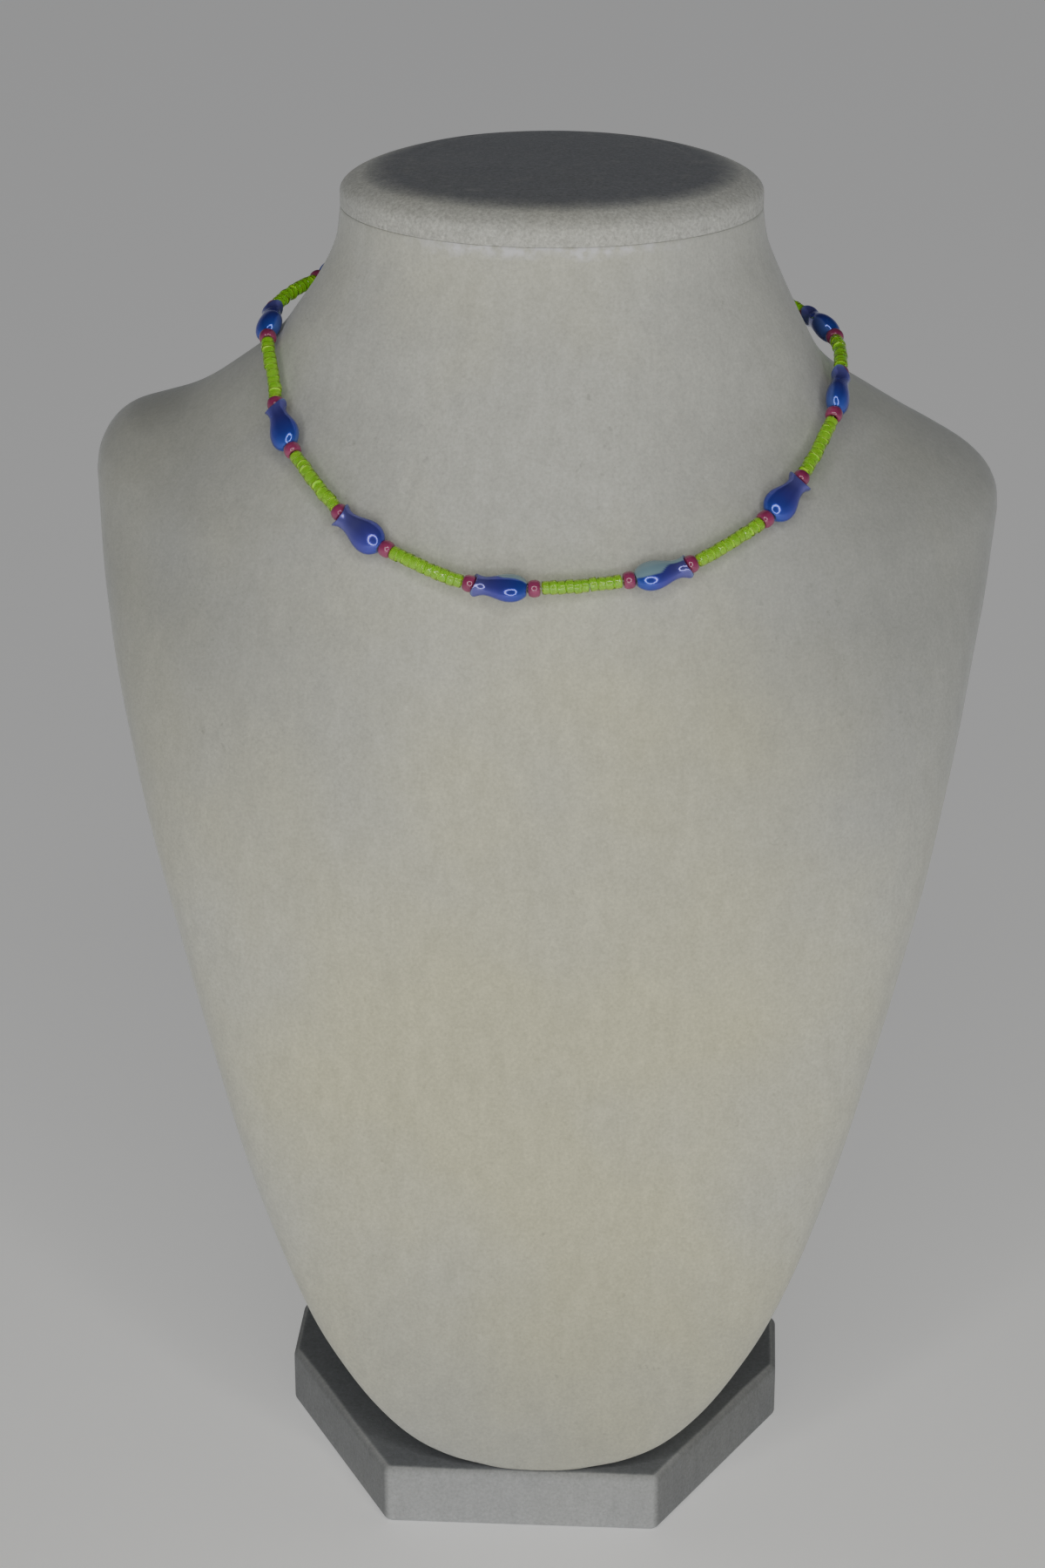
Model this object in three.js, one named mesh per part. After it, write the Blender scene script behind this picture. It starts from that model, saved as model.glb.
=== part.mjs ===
// Beaded choker necklace on a velvet covered neck display bust.
// Units are millimetres, +Z is up and the bust faces -Y. Left and right are as seen from the front,
// so the left side is at -X.
// The origin is the centre of the base's underside.
import * as THREE from 'three';

// Gap kept between pieces that touch on the real object.
const clearance = 0.3;

// Base: a board with cut corners, covered in velvet.
const baseWidth = 120;
const baseDepth = 129;
const baseThickness = 15;
const baseFrontWidth = 64;
const baseSideLength = 22.6;
const baseEdgeRadius = 1.5;
const baseEdgeSteps = 3;

// Bust: the chest form stands on the base and rises into an oval neck.
const bustShift = 3.5;
const neckAxisY = 9;
const chestHeight = 218.7;
const neckHeight = 67.4;
const shoulderWidth = 209.6;
const chestReach = 67;
const backReach = 46;
const neckWidth = 95.2;
const neckDepth = 87;
const shoulderLift = 5.6;
const bustSides = 48;
const longestChestStep = 0.1;
const longestNeckStep = 0.065;

// How far the bust stands to the left of its own axis: at the neck's top, at both shoulder ends, and
// on the right side, which leans a little more. Each comes in between two distances across from the
// axis and two heights.
const neckLean = 1.0;
const shoulderLean = { by: 2.1, acrossFrom: 50, acrossTo: 95, heightFrom: 110, heightTo: 225 };
const rightSideLean = { by: 0.7, acrossFrom: 36.5, acrossTo: 86.5, heightFrom: 15, heightTo: 60 };

// The hollow beside the neck and the rise at the end that the left shoulder alone has. Both come in
// between two heights.
const hollow = { depth: 2.8, across: -80.5, spread: 12 };
const rise = { height: 1.6, across: -101.5, spread: 8 };
const hollowHeightFrom = 205;
const hollowHeightTo = 236;

// Cap: the flat oval lid with a rolled edge that closes the neck.
const capThickness = 8.6;
const capRoll = 3.6;
const capCrown = 0.9;
const capRollSteps = 4;
const capCrownInset = 17;
const capMiddleInset = 29;

// Thread and the bore that every bead has for it.
const threadDiameter = 0.5;
const threadSides = 6;
const threadSteps = 84;
const boreDiameter = 1.5;

// Pink spacer: an opaque rounded glass seed bead.
const spacerDiameter = 4.0;
const spacerLength = 2.6;
const spacerSides = 12;

// Lime seed beads: each run of them is held as one tube of their outer size.
const seedDiameter = 3.1;
const seedPitch = 1.72;
const seedsPerRun = 10;
const runSides = 8;
const runSteps = 4;

// Tulip bead: pressed blue glass, a bulb that narrows to a waist and opens in two pointed petals.
const tulipLength = 11.7;
const tulipWidth = 7.4;
const tulipDepth = 5.2;
const mouthWidth = 5.4;
const mouthDip = 1.2;
const petalWall = 0.55;
const petalPoint = 3;
const spacerNest = 0.5;
const tulipSides = 12;
const tulipsPerSide = 5;

// Clasp: one plain barrel at the nape, which takes both ends of the thread.
const claspLength = 12;
const claspDiameter = 4.2;
const claspSocketDepth = 1.6;
const claspSides = 12;

// Shares of chestHeight between which the higher shoulder's lift comes in, and of neckHeight between
// which it goes out again.
const liftBegins = 0.85;
const liftFull = 1.02;
const liftFades = 0.5;
const liftGone = 0.85;

// Share of neckHeight from which the neck leans.
const leanBegins = 0.3;

// Route of the string, from the middle of the front run round by the right shoulder, the nape and
// the left shoulder. X is measured from the bust's own axis.
const stringRoute = [
  [9.4, -60.8, 234.5],
  [19.6, -59.1, 235.4],
  [25.3, -57.8, 236.2],
  [32.7, -54.6, 237.8],
  [40.6, -50.0, 241.1],
  [48.0, -44.3, 244.6],
  [52.2, -39.7, 247.3],
  [55.4, -34.9, 250.5],
  [59.4, -26.8, 255.2],
  [62.7, -18.8, 260.1],
  [64.1, -11.9, 263.7],
  [64.5, -6.8, 266.1],
  [63.5, 15.4, 269.7],
  [56.4, 28.7, 271.7],
  [46.6, 39.1, 274.2],
  [33.0, 48.2, 277.2],
  [17.0, 54.4, 279.6],
  [0.0, 56.6, 280.6],
  [-18.0, 54.2, 280.6],
  [-35.0, 47.0, 280.0],
  [-46.3, 38.4, 279.3],
  [-56.3, 26.1, 278.7],
  [-64.0, 9.0, 276.4],
  [-63.6, -9.1, 272.0],
  [-61.7, -16.3, 267.6],
  [-60.2, -23.4, 261.9],
  [-58.3, -28.8, 258.3],
  [-55.1, -34.4, 254.8],
  [-49.6, -41.4, 250.1],
  [-43.7, -47.3, 245.4],
  [-39.4, -51.2, 242.5],
  [-33.9, -53.5, 239.9],
  [-25.1, -57.7, 237.1],
  [-15.8, -60.5, 234.6],
  [-7.3, -61.6, 233.9],
  [-1.1, -62.0, 234.0],
];

// Turn of each tulip bead about the thread, in degrees, from the one nearest the front to the nape.
// At 0 its broad face is upright and faces the neck's axis.
const tulipTurnsRight = [-63, -42, -5, -35, -7];
const tulipTurnsLeft = [70, 30, 31, 37, 22];

// Cross-sections of the chest, from the tip on the base up to the widest part of the shoulders.
// at is a share of chestHeight; wide, of half of shoulderWidth; front, edge and back say how far the
// middle of the front, the side edges and the back stand from the neck's axis, as shares of
// chestReach and backReach. edge is positive towards the front. corner is the share by which the
// oval is drawn in half way between its front and its sides.
const chestSections = [
  { at: 0.0, wide: 0.124, front: 1.082, edge: 1.03, back: -0.63, corner: -0.032 },
  { at: 0.01, wide: 0.2, front: 1.09, edge: 1.037, back: -0.59, corner: -0.046 },
  { at: 0.028, wide: 0.277, front: 1.097, edge: 1.03, back: -0.54, corner: -0.06 },
  { at: 0.058, wide: 0.353, front: 1.107, edge: 1.007, back: -0.48, corner: -0.06 },
  { at: 0.099, wide: 0.427, front: 1.119, edge: 0.97, back: -0.41, corner: -0.06 },
  { at: 0.159, wide: 0.51, front: 1.128, edge: 0.918, back: -0.3, corner: -0.06 },
  { at: 0.25, wide: 0.597, front: 1.134, edge: 0.851, back: -0.15, corner: -0.06 },
  { at: 0.364, wide: 0.682, front: 1.134, edge: 0.761, back: 0.02, corner: -0.06 },
  { at: 0.502, wide: 0.767, front: 1.128, edge: 0.657, back: 0.22, corner: -0.053 },
  { at: 0.639, wide: 0.847, front: 1.113, edge: 0.522, back: 0.41, corner: -0.039 },
  { at: 0.776, wide: 0.917, front: 1.09, edge: 0.343, back: 0.61, corner: -0.017 },
  { at: 0.899, wide: 0.968, front: 1.052, edge: 0.149, back: 0.8, corner: 0.018 },
  { at: 0.963, wide: 0.99, front: 1.022, edge: 0.0, back: 0.93, corner: 0.038 },
  { at: 1.0, wide: 1.0, front: 1.0, edge: -0.06, back: 1.0, corner: 0.051 },
];

// Cross-sections from the shoulders to the top of the neck. at is a share of neckHeight, corner is
// as above and the others are shares of the way from the neck, 0, out to the shoulders, 1.
const neckSections = [
  { at: 0.0, wide: 1.0, front: 1.0, edge: 1.0, back: 1.0, corner: 0.051 },
  { at: 0.06, wide: 0.994, front: 0.945, edge: 1.76, back: 0.97, corner: 0.055 },
  { at: 0.12, wide: 0.955, front: 0.889, edge: 2.5, back: 0.94, corner: 0.059 },
  { at: 0.18, wide: 0.878, front: 0.832, edge: 2.86, back: 0.9, corner: 0.062 },
  { at: 0.24, wide: 0.765, front: 0.773, edge: 2.74, back: 0.84, corner: 0.067 },
  { at: 0.3, wide: 0.635, front: 0.711, edge: 2.28, back: 0.775, corner: 0.0705 },
  { at: 0.37, wide: 0.5, front: 0.635, edge: 1.35, back: 0.69, corner: 0.071 },
  { at: 0.45, wide: 0.357, front: 0.543, edge: 0.1, back: 0.57, corner: 0.067 },
  { at: 0.54, wide: 0.248, front: 0.434, edge: -1.25, back: 0.43, corner: 0.054 },
  { at: 0.64, wide: 0.172, front: 0.312, edge: -1.6, back: 0.275, corner: 0.037 },
  { at: 0.76, wide: 0.087, front: 0.172, edge: -0.95, back: 0.125, corner: 0.015 },
  { at: 0.88, wide: 0.022, front: 0.056, edge: -0.2, back: 0.035, corner: 0.003 },
  { at: 1.0, wide: 0.0, front: 0.0, edge: 0.0, back: 0.0, corner: 0.0 },
];

// Sections of the tulip bead from its bulb end to the rim of its mouth. at is a share of the outer
// length, wide and deep are shares of tulipWidth and tulipDepth. The rim's width is mouthWidth.
const tulipSections = [
  { at: 0.0, wide: 0.46, deep: 0.54 },
  { at: 0.03, wide: 0.6, deep: 0.67 },
  { at: 0.11, wide: 0.82, deep: 0.85 },
  { at: 0.23, wide: 0.96, deep: 0.97 },
  { at: 0.36, wide: 1.0, deep: 1.0 },
  { at: 0.5, wide: 0.9, deep: 0.92 },
  { at: 0.67, wide: 0.67, deep: 0.72 },
  { at: 0.84, wide: 0.6, deep: 0.66 },
];
const mouthDepthShare = 0.7;

const velvet = new THREE.MeshStandardMaterial({ color: '#a8a798', roughness: 0.95, metalness: 0 });
const baseVelvet = new THREE.MeshStandardMaterial({ color: '#9b9d9b', roughness: 0.95, metalness: 0 });
const capVelvet = new THREE.MeshStandardMaterial({ color: '#8e8f8e', roughness: 0.95, metalness: 0 });
const blueGlass = new THREE.MeshStandardMaterial({ color: '#2c43b0', roughness: 0.15, metalness: 0.3 });
const pinkGlass = new THREE.MeshStandardMaterial({ color: '#9a3a63', roughness: 0.25, metalness: 0 });
const limeGlass = new THREE.MeshStandardMaterial({ color: '#9be02a', roughness: 0.2, metalness: 0 });
const nylon = new THREE.MeshStandardMaterial({ color: '#d8dcd2', roughness: 0.4, metalness: 0 });
const claspMetal = new THREE.MeshStandardMaterial({ color: '#b9bcc0', roughness: 0.3, metalness: 1 });

const assembly = new THREE.Group();

function addPiece(name, geometry, material) {
  const mesh = new THREE.Mesh(geometry, material);
  mesh.name = name;
  assembly.add(mesh);
  return mesh;
}

// A surface through rings of points that all have the same count and run counter-clockwise seen from
// the far end of the stack. The ends are closed by fans, or joined to each other if looped is true.
function skinRings(rings, looped) {
  const sides = rings[0].length;
  const points = rings.flat();
  const faces = [];
  const bands = looped ? rings.length : rings.length - 1;
  for (let band = 0; band < bands; band += 1) {
    const low = band * sides;
    const high = ((band + 1) % rings.length) * sides;
    for (let side = 0; side < sides; side += 1) {
      const next = (side + 1) % sides;
      faces.push(low + side, low + next, high + next);
      faces.push(low + side, high + next, high + side);
    }
  }
  if (!looped) {
    const top = (rings.length - 1) * sides;
    const ends = [
      { ring: rings[0], first: 0, facesUp: false },
      { ring: rings[rings.length - 1], first: top, facesUp: true },
    ];
    for (const end of ends) {
      const middle = new THREE.Vector3();
      for (const point of end.ring) middle.addScaledVector(point, 1 / sides);
      const centre = points.push(middle) - 1;
      for (let side = 0; side < sides; side += 1) {
        const here = end.first + side;
        const next = end.first + ((side + 1) % sides);
        faces.push(centre, end.facesUp ? here : next, end.facesUp ? next : here);
      }
    }
  }
  const geometry = new THREE.BufferGeometry().setFromPoints(points);
  geometry.setIndex(faces);
  return geometry;
}

// Points of a closed profile turned about Z, each { along, radius }.
function turnedRings(profile, sides) {
  return profile.map(({ along, radius }) => {
    const ring = [];
    for (let side = 0; side < sides; side += 1) {
      const angle = (2 * Math.PI * side) / sides;
      ring.push(new THREE.Vector3(radius * Math.cos(angle), radius * Math.sin(angle), along));
    }
    return ring;
  });
}

function smoothStep(from, to, value) {
  const share = THREE.MathUtils.clamp((value - from) / (to - from), 0, 1);
  return share * share * (3 - 2 * share);
}

// Value of one named column at a share of the table's height, by a smooth curve through its rows.
function columnAt(table, column, at) {
  let row = 0;
  while (row < table.length - 2 && table[row + 1].at < at) row += 1;
  const from = table[row];
  const to = table[row + 1];
  const span = to.at - from.at;
  const slope = (index) => {
    const before = table[Math.max(index - 1, 0)];
    const after = table[Math.min(index + 1, table.length - 1)];
    return (after[column] - before[column]) / (after.at - before.at);
  };
  const share = (at - from.at) / span;
  const cube = share ** 3;
  const square = share ** 2;
  return (
    (2 * cube - 3 * square + 1) * from[column] +
    (cube - 2 * square + share) * span * slope(row) +
    (3 * square - 2 * cube) * to[column] +
    (cube - square) * span * slope(row + 1)
  );
}

// Base.
function cutCornerBoard() {
  const halfWidth = baseWidth / 2 - baseEdgeRadius;
  const halfDepth = baseDepth / 2 - baseEdgeRadius;
  const halfFront = baseFrontWidth / 2 - baseEdgeRadius / 2;
  const halfSide = baseSideLength / 2;
  const outline = new THREE.Shape([
    new THREE.Vector2(-halfFront, -halfDepth),
    new THREE.Vector2(halfFront, -halfDepth),
    new THREE.Vector2(halfWidth, -halfSide),
    new THREE.Vector2(halfWidth, halfSide),
    new THREE.Vector2(halfFront, halfDepth),
    new THREE.Vector2(-halfFront, halfDepth),
    new THREE.Vector2(-halfWidth, halfSide),
    new THREE.Vector2(-halfWidth, -halfSide),
  ]);
  return new THREE.ExtrudeGeometry(outline, {
    depth: baseThickness - 2 * baseEdgeRadius,
    bevelThickness: baseEdgeRadius,
    bevelSize: baseEdgeRadius,
    bevelSegments: baseEdgeSteps,
  });
}

addPiece('base', cutCornerBoard(), baseVelvet).position.z = baseEdgeRadius;

// Bust form. One horizontal section is an oval through the front, the two side edges and the back.
const bustBottom = baseThickness + clearance;

function bustRing(height, halfWidth, front, edge, back, corner, lift) {
  const ring = [];
  for (let side = 0; side < bustSides; side += 1) {
    const angle = (2 * Math.PI * side) / bustSides;
    const rear = Math.sin(angle) > 0;
    const drawIn = 1 - (rear ? Math.min(corner, 0) : corner) * Math.sin(2 * angle) ** 2;
    const across = Math.cos(angle) * drawIn;
    const along = Math.sin(angle) * drawIn;
    const reach = rear ? back + edge : front - edge;
    ring.push(
      new THREE.Vector3(halfWidth * across, -edge + reach * along, height - (lift * across) / 2),
    );
  }
  return ring;
}

// Moves a point of the shoulders to where they really stand: the ends lean to the left, and the left
// shoulder has a hollow beside the neck and rises a little at its end.
function setShoulder(point) {
  const { x, z } = point;
  const leanOf = (lean, across) =>
    lean.by *
    smoothStep(lean.acrossFrom, lean.acrossTo, across) *
    smoothStep(lean.heightFrom, lean.heightTo, z);
  const down = hollow.depth * Math.exp(-(((x - hollow.across) / hollow.spread) ** 2));
  const up = rise.height * Math.exp(-(((x - rise.across) / rise.spread) ** 2));
  point.x -= leanOf(shoulderLean, Math.abs(x)) + leanOf(rightSideLean, x);
  point.z -= (down - up) * smoothStep(hollowHeightFrom, hollowHeightTo, z);
}

// Shares of the table's height at which rings are made: every row, and half way where two rows are
// further apart than the longest step. The last row is left to what stands on it.
function ringSteps(table, longest) {
  const steps = [];
  for (let row = 0; row < table.length - 1; row += 1) {
    const from = table[row].at;
    const to = table[row + 1].at;
    steps.push(from);
    if (to - from > longest) steps.push((from + to) / 2);
  }
  return steps;
}

function bustRings() {
  const rings = [];
  const halfShoulder = shoulderWidth / 2;
  const liftStart = bustBottom + liftBegins * chestHeight;
  const liftEnd = bustBottom + liftFull * chestHeight;
  const liftAt = (height) => shoulderLift * smoothStep(liftStart, liftEnd, height);
  for (const at of ringSteps(chestSections, longestChestStep)) {
    const height = bustBottom + at * chestHeight;
    rings.push(
      bustRing(
        height,
        columnAt(chestSections, 'wide', at) * halfShoulder,
        columnAt(chestSections, 'front', at) * chestReach,
        columnAt(chestSections, 'edge', at) * chestReach,
        columnAt(chestSections, 'back', at) * backReach,
        columnAt(chestSections, 'corner', at),
        liftAt(height),
      ),
    );
  }
  const mix = THREE.MathUtils.lerp;
  const edgeAtShoulder = chestSections[chestSections.length - 1].edge * chestReach;
  for (const at of [...ringSteps(neckSections, longestNeckStep), 1]) {
    const height = bustBottom + chestHeight + at * neckHeight;
    const settle = 1 - smoothStep(liftFades, liftGone, at);
    const ring = bustRing(
      height,
      mix(neckWidth / 2, halfShoulder, columnAt(neckSections, 'wide', at)),
      mix(neckDepth / 2, chestReach, columnAt(neckSections, 'front', at)),
      edgeAtShoulder * columnAt(neckSections, 'edge', at),
      mix(neckDepth / 2, backReach, columnAt(neckSections, 'back', at)),
      columnAt(neckSections, 'corner', at),
      liftAt(height) * settle,
    );
    const lean = neckLean * smoothStep(leanBegins, 1, at);
    for (const point of ring) point.x -= lean;
    rings.push(ring);
  }
  for (const point of rings.flat()) setShoulder(point);
  return rings;
}

const bust = addPiece('bust_form', skinRings(bustRings(), false), velvet);
bust.position.set(bustShift, neckAxisY, 0);

// Cap: the neck's oval, rounded over at its rim and slightly crowned in the middle.
function capRings() {
  const rings = [];
  const ovalRing = (inset, height) =>
    bustRing(height, neckWidth / 2 - inset, neckDepth / 2 - inset, 0, neckDepth / 2 - inset, 0, 0);
  rings.push(ovalRing(clearance, 0));
  rings.push(ovalRing(0, clearance));
  for (let step = 0; step <= capRollSteps; step += 1) {
    const angle = (Math.PI / 2) * (step / capRollSteps);
    const inset = capRoll * (1 - Math.cos(angle));
    rings.push(ovalRing(inset, capThickness - capCrown - capRoll * (1 - Math.sin(angle))));
  }
  rings.push(ovalRing(capCrownInset, capThickness - capCrown / 3));
  rings.push(ovalRing(capMiddleInset, capThickness));
  return rings;
}

const neckTop = bustBottom + chestHeight + neckHeight;
const cap = addPiece('neck_cap', skinRings(capRings(), false), capVelvet);
cap.position.set(bustShift - neckLean, neckAxisY, neckTop + clearance);

// String: lengths run along the route from the middle of the front.
const route = new THREE.CatmullRomCurve3(
  stringRoute.map(([x, y, z]) => new THREE.Vector3(x + bustShift, y, z)),
  true,
  'centripetal',
);
route.arcLengthDivisions = 1600;
const routeLength = route.getLength();

function routePoint(length) {
  const share = (length / routeLength) % 1;
  return route.getPointAt(share < 0 ? share + 1 : share);
}

// Places a straight bead, whose own axis is Z, between two lengths of the route. It sits half way
// between the chord and the curve, so the thread runs through its bore. turn is about the thread.
function placeBead(mesh, from, to, turn) {
  const start = routePoint(from);
  const end = routePoint(to);
  const along = end.clone().sub(start).normalize();
  const middle = start.clone().add(end).multiplyScalar(0.5);
  mesh.position.copy(middle.lerp(routePoint((from + to) / 2), 0.5));
  const outward = new THREE.Vector3(mesh.position.x - bustShift, mesh.position.y - neckAxisY, 0);
  const across = new THREE.Vector3().crossVectors(along, outward).normalize();
  const deep = new THREE.Vector3().crossVectors(along, across);
  const basis = new THREE.Matrix4().makeBasis(across, deep, along);
  mesh.quaternion.setFromRotationMatrix(basis);
  mesh.rotateZ(THREE.MathUtils.degToRad(turn));
}

// Pink spacer, centred on its own middle.
const spacerProfile = [
  { at: 0.5, radius: 0.56 },
  { at: 0.42, radius: 0.8 },
  { at: 0.24, radius: 0.96 },
  { at: 0, radius: 1 },
];

function spacerGeometry() {
  const radius = spacerDiameter / 2;
  const profile = [];
  for (const row of spacerProfile) {
    profile.push({ along: -row.at * spacerLength, radius: row.radius * radius });
  }
  for (const row of spacerProfile.slice(0, -1).reverse()) {
    profile.push({ along: row.at * spacerLength, radius: row.radius * radius });
  }
  profile.push({ along: spacerLength / 2, radius: boreDiameter / 2 });
  profile.push({ along: -spacerLength / 2, radius: boreDiameter / 2 });
  return skinRings(turnedRings(profile, spacerSides), true);
}

// Tulip bead, centred on half of its length, with its mouth towards +Z and its petals along X.
function tulipRing(halfWide, halfDeep, heightAt) {
  const ring = [];
  for (let side = 0; side < tulipSides; side += 1) {
    const angle = (2 * Math.PI * side) / tulipSides;
    ring.push(
      new THREE.Vector3(halfWide * Math.cos(angle), halfDeep * Math.sin(angle), heightAt(angle)),
    );
  }
  return ring;
}

function tulipGeometry() {
  const start = -tulipLength / 2;
  const floor = tulipLength / 2 - mouthDip;
  const halfMouth = mouthWidth / 2;
  const halfMouthDeep = (mouthDepthShare * tulipDepth) / 2;
  const bore = boreDiameter / 2;
  const rings = tulipSections.map(({ at, wide, deep }) =>
    tulipRing((wide * tulipWidth) / 2, (deep * tulipDepth) / 2, () => start + at * (floor - start)),
  );
  const rimAt = (angle) => floor + mouthDip * Math.abs(Math.cos(angle)) ** petalPoint;
  rings.push(tulipRing(halfMouth, halfMouthDeep, rimAt));
  rings.push(tulipRing(halfMouth - petalWall, halfMouthDeep - petalWall, rimAt));
  rings.push(tulipRing(halfMouth - petalWall, halfMouthDeep - petalWall, () => floor - clearance));
  rings.push(tulipRing(bore, bore, () => floor - clearance));
  rings.push(tulipRing(bore, bore, () => start));
  return skinRings(rings, true);
}

// One run of lime seed beads: a bored tube that follows the route between two lengths.
function runGeometry(from, to) {
  const section = new THREE.Shape();
  section.absellipse(0, 0, seedDiameter / 2, seedDiameter / 2, 0, 2 * Math.PI, false);
  const bore = new THREE.Path();
  bore.absellipse(0, 0, boreDiameter / 2, boreDiameter / 2, 0, 2 * Math.PI, true);
  section.holes.push(bore);
  return new THREE.ExtrudeGeometry(section, {
    curveSegments: runSides / 2,
    steps: runSteps,
    extrudePath: stretchOfRoute(from, to, runSteps),
  });
}

// A curve through evenly spaced points of the route between two lengths.
function stretchOfRoute(from, to, steps) {
  const points = [];
  for (let step = 0; step <= steps; step += 1) {
    points.push(routePoint(from + ((to - from) * step) / steps));
  }
  return new THREE.CatmullRomCurve3(points);
}

// The pattern on one side of the front: half a run, then tulip, run, tulip and so on to the nape.
// The tulips' bulbs face the front and their mouths face the nape.
const runLength = seedsPerRun * seedPitch;
const claspStart = (routeLength - claspLength) / 2;
const sides = [
  { name: 'right', sign: 1, turns: tulipTurnsRight },
  { name: 'left', sign: -1, turns: tulipTurnsLeft },
];

addPiece('lime_run_front', runGeometry(-runLength / 2, runLength / 2), limeGlass);

for (const { name, sign, turns } of sides) {
  let reached = runLength / 2;
  for (let index = 1; index <= tulipsPerSide; index += 1) {
    const front = addPiece(`pink_bead_${name}_${2 * index - 1}`, spacerGeometry(), pinkGlass);
    placeBead(front, sign * (reached + clearance), sign * (reached + clearance + spacerLength), 0);
    reached += spacerLength + 2 * clearance;
    const tulip = addPiece(`tulip_bead_${name}_${index}`, tulipGeometry(), blueGlass);
    placeBead(tulip, sign * reached, sign * (reached + tulipLength), turns[index - 1]);
    reached += tulipLength - spacerNest;
    const rear = addPiece(`pink_bead_${name}_${2 * index}`, spacerGeometry(), pinkGlass);
    placeBead(rear, sign * reached, sign * (reached + spacerLength), 0);
    reached += spacerLength + clearance;
    const runEnd = index < tulipsPerSide ? reached + runLength : claspStart - clearance;
    addPiece(`lime_run_${name}_${index}`, runGeometry(sign * reached, sign * runEnd), limeGlass);
    reached = runEnd;
  }
}

// Clasp: a barrel with a socket at each end for the thread. Its outline narrows towards the ends,
// at is a share of half of its length.
const claspProfile = [
  { at: -1, radius: 0.55 },
  { at: -0.82, radius: 0.9 },
  { at: -0.6, radius: 1 },
  { at: 0.6, radius: 1 },
  { at: 0.82, radius: 0.9 },
  { at: 1, radius: 0.55 },
];

function claspGeometry() {
  const half = claspLength / 2;
  const socket = boreDiameter / 2;
  const barrel = claspProfile.map(
    ({ at, radius }) => new THREE.Vector2((radius * claspDiameter) / 2, at * half),
  );
  const profile = [
    new THREE.Vector2(0, claspSocketDepth - half),
    new THREE.Vector2(socket, claspSocketDepth - half),
    new THREE.Vector2(socket, -half),
    ...barrel,
    new THREE.Vector2(socket, half),
    new THREE.Vector2(socket, half - claspSocketDepth),
    new THREE.Vector2(0, half - claspSocketDepth),
  ];
  return new THREE.LatheGeometry(profile, claspSides).rotateX(Math.PI / 2);
}

const clasp = addPiece('clasp', claspGeometry(), claspMetal);
placeBead(clasp, claspStart, claspStart + claspLength, 0);

// Thread: from one socket of the clasp round the front to the other.
const threadEnd = claspStart + claspSocketDepth - clearance;
const threadSection = new THREE.Shape();
threadSection.absellipse(0, 0, threadDiameter / 2, threadDiameter / 2, 0, 2 * Math.PI, false);
const threadGeometry = new THREE.ExtrudeGeometry(threadSection, {
  curveSegments: threadSides / 2,
  steps: threadSteps,
  extrudePath: stretchOfRoute(-threadEnd, threadEnd, threadSteps),
});
addPiece('thread', threadGeometry, nylon);

export default assembly;
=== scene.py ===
# %% [markdown]
# # A beaded choker on a velvet neck bust
# A single strand of pressed glass tulips, raspberry spacers and lime seed beads lies round the neck of
# a display bust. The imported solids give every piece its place. Each visible surface is then worked
# out again with numpy, smooth and with its small relief, and gets a finish built from nodes.

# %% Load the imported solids
import math

import bpy
import numpy as np
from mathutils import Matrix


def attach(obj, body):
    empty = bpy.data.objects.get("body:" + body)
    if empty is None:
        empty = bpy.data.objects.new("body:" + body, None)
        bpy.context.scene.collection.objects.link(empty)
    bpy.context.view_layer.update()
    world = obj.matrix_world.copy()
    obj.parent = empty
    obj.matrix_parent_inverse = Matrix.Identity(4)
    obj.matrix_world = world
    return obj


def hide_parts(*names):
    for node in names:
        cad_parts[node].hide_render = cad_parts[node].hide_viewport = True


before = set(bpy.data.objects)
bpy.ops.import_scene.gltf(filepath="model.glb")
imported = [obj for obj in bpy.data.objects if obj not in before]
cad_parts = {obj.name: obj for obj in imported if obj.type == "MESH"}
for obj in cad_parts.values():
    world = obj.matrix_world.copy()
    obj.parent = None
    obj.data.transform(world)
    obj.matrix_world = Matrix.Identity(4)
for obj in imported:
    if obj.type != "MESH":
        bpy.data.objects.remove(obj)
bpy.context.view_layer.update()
MM = 0.001

# %% [markdown]
# ## Camera
# The camera stands a little over 0.8 m in front of the bust, looks down by 22 degrees and turns
# 3.5 degrees to the left. A long lens from there gives the tall frame its mild perspective. It is
# made first, so that every later piece can be looked at through it.

# %% Camera
camera_data = bpy.data.cameras.new("camera")
camera = bpy.data.objects.new("camera", camera_data)
bpy.context.scene.collection.objects.link(camera)
camera_data.sensor_width = 36.0
camera_data.lens = 84.26
camera.location = (0.0456, -0.8032, 0.489)
camera.rotation_euler = (math.radians(68.0), 0.0, math.radians(3.5))
bpy.context.scene.camera = camera

# %% [markdown]
# ## From a grid of points to a mesh
# Every piece is a grid: rings of points, one row after another. Neighbouring points make four-sided
# faces, the first and last rows are closed by a fan of triangles or joined to each other, and the
# mesh is filled from whole arrays. Beads that are alike are made as one stack of grids.

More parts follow.
